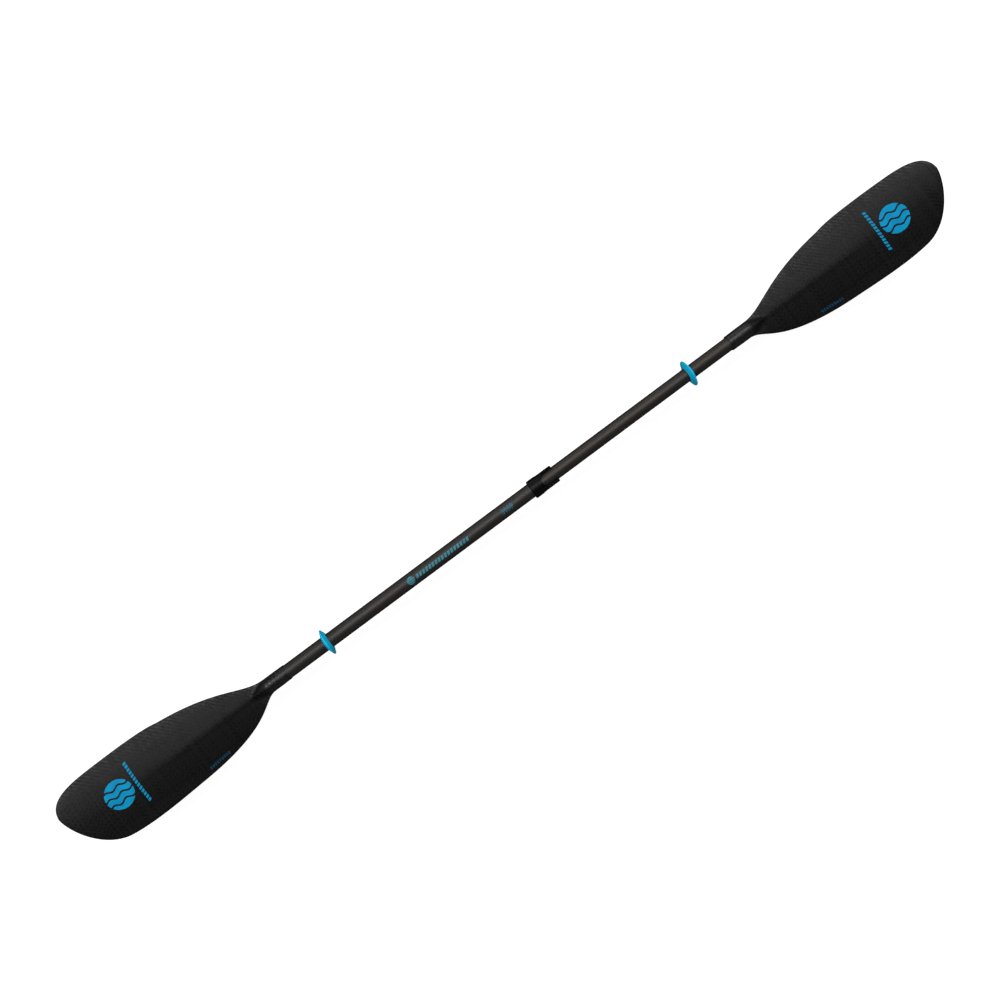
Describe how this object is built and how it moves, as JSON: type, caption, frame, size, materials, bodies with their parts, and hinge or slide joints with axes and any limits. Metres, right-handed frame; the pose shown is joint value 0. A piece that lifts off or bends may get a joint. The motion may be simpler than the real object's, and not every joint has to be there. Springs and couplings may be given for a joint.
{
  "type": "kayak paddle",
  "caption": "Telescopic kayak paddle with mirrored asymmetric spoon blades, a cam-lever collar on the shaft and sliding drip rings.",
  "frame": {"origin": "middle of the paddle's length, on the axis of the shaft", "axes": "+X along the shaft towards the blade that slides and turns, +Y towards the blades' longer edges, +Z out of the power faces"},
  "size_m": [2.2, 0.1655, 0.058],
  "materials": {
    "blade_composite": "satin black twill-weave composite",
    "shaft_composite": "fine charcoal weave under clear lacquer",
    "black_nylon": "moulded glass-filled nylon",
    "grey_acetal": "smooth moulded acetal",
    "cyan_rubber": "soft matt cyan rubber",
    "black_rubber": "matt black rubber",
    "plug_foam": "closed-cell foam",
    "steel": "stainless steel"
  },
  "bodies": {
    "left_half": {"left_blade": "blade_composite", "outer_shaft_tube": "shaft_composite", "left_end_plug": "plug_foam", "insertion_stop": "plug_foam", "clamp_collar": "black_nylon", "collar_screw": "steel", "wiper_seal": "black_rubber", "mouth_bush": "grey_acetal", "lever_pin": "steel"},
    "lever": {"cam_lever": "black_nylon"},
    "shoe": {"pressure_shoe": "grey_acetal", "shoe_pad": "black_rubber"},
    "slide_carriage": {"guide_bush": "grey_acetal"},
    "right_half": {"right_blade": "blade_composite", "inner_shaft_tube": "shaft_composite", "right_end_plug": "plug_foam", "inner_end_plug": "black_nylon", "bush_washer": "steel", "bush_screw": "steel"},
    "left_ring": {"left_drip_ring": "cyan_rubber"},
    "right_ring": {"right_drip_ring": "cyan_rubber"}
  },
  "joints": [
    {"name": "length_adjust", "type": "slide", "parent": "left_half", "child": "slide_carriage", "axis": [1, 0, 0], "range_m": [0, 0.2]},
    {"name": "feather_angle", "type": "hinge", "parent": "slide_carriage", "child": "right_half", "pos_m": [0, 0, 0], "axis": [1, 0, 0], "continuous": true},
    {"name": "lever_open", "type": "hinge", "parent": "left_half", "child": "lever", "pos_m": [0.093, 0, -0.0235], "axis": [0, -1, 0], "range_deg": [0, 110]},
    {"name": "shoe_release", "type": "slide", "parent": "left_half", "child": "shoe", "axis": [0, 0, -1], "range_m": [0, 0.0006]},
    {"name": "left_ring_slide", "type": "slide", "parent": "left_half", "child": "left_ring", "axis": [1, 0, 0], "range_m": [-0.08, 0.15]},
    {"name": "right_ring_slide", "type": "slide", "parent": "right_half", "child": "right_ring", "axis": [1, 0, 0], "range_m": [-0.15, 0.08]}
  ],
  "couplings": [
    {"joint": "shoe_release", "follows": "lever_open", "m_per_rad": 0.0003}
  ]
}
